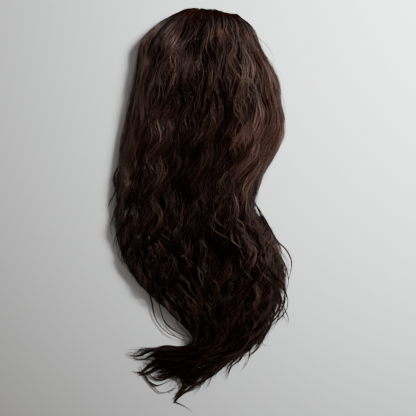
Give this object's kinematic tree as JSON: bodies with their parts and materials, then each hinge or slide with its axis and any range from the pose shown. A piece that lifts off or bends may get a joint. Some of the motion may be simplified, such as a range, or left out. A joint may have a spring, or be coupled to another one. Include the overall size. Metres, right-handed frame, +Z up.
{
  "type": "ponytail hair extension",
  "caption": "Long dark-brown wavy ponytail hair extension lying flat, its locks sewn round a shallow elastic cap with a comb, worn over a bun, with its tail swept to one side.",
  "frame": {"origin": "on the surface it lies on, at the middle of its footprint", "axes": "+Z up; +Y from the tail towards the front of the crown, so the tail turns towards -X"},
  "size_m": [0.2334, 0.5022, 0.0566],
  "materials": {
    "hair": "satin wavy fibre",
    "net": "matte net",
    "band": "matte woven elastic",
    "comb": "satin"
  },
  "bodies": {
    "root": {"cap": "net", "mouth_band": "band", "comb": "comb", "left_weft_hair": "hair", "top_weft_hair": "hair", "right_weft_hair": "hair", "under_weft_hair": "hair"}
  },
  "joints": []
}
